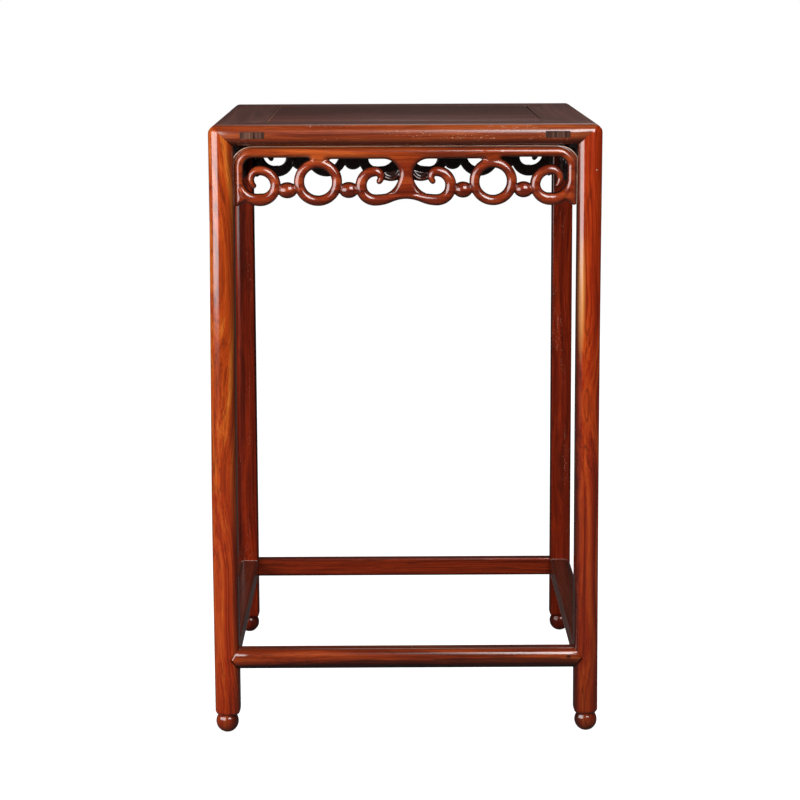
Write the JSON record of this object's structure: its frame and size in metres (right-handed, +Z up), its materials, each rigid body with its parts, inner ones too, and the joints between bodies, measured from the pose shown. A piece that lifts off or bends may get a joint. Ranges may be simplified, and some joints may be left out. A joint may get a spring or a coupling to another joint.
{
  "type": "hardwood stand",
  "caption": "Tall square hardwood stand with a mitred framed top, openwork scroll aprons, low stretchers and legs on ball feet, joined by mortise and tenon.",
  "frame": {"origin": "on the floor, under the middle of the stand", "axes": "+Z up, +X to the right seen from the front, front towards -Y"},
  "size_m": [0.48, 0.48, 0.763],
  "materials": {
    "legs": "polished red-brown rosewood with dark streaks along the leg",
    "top_frame": "polished rosewood, worn and scratched on the edges",
    "top_panel": "dark brown rosewood, fine grain, satin and scratched",
    "battens": "plain unpolished hardwood",
    "wedges": "pale end grain",
    "aprons": "polished carved rosewood",
    "stretchers": "polished dark rosewood"
  },
  "bodies": {
    "root": {"leg_front_left": "legs", "leg_front_right": "legs", "leg_back_left": "legs", "leg_back_right": "legs", "rail_front": "top_frame", "rail_back": "top_frame", "rail_left": "top_frame", "rail_right": "top_frame", "top_panel": "top_panel", "batten_left": "battens", "batten_right": "battens", "tenon_wedges": "wedges", "apron_front": "aprons", "apron_back": "aprons", "apron_left": "aprons", "apron_right": "aprons", "stretcher_front": "stretchers", "stretcher_back": "stretchers", "stretcher_left": "stretchers", "stretcher_right": "stretchers"}
  },
  "joints": []
}
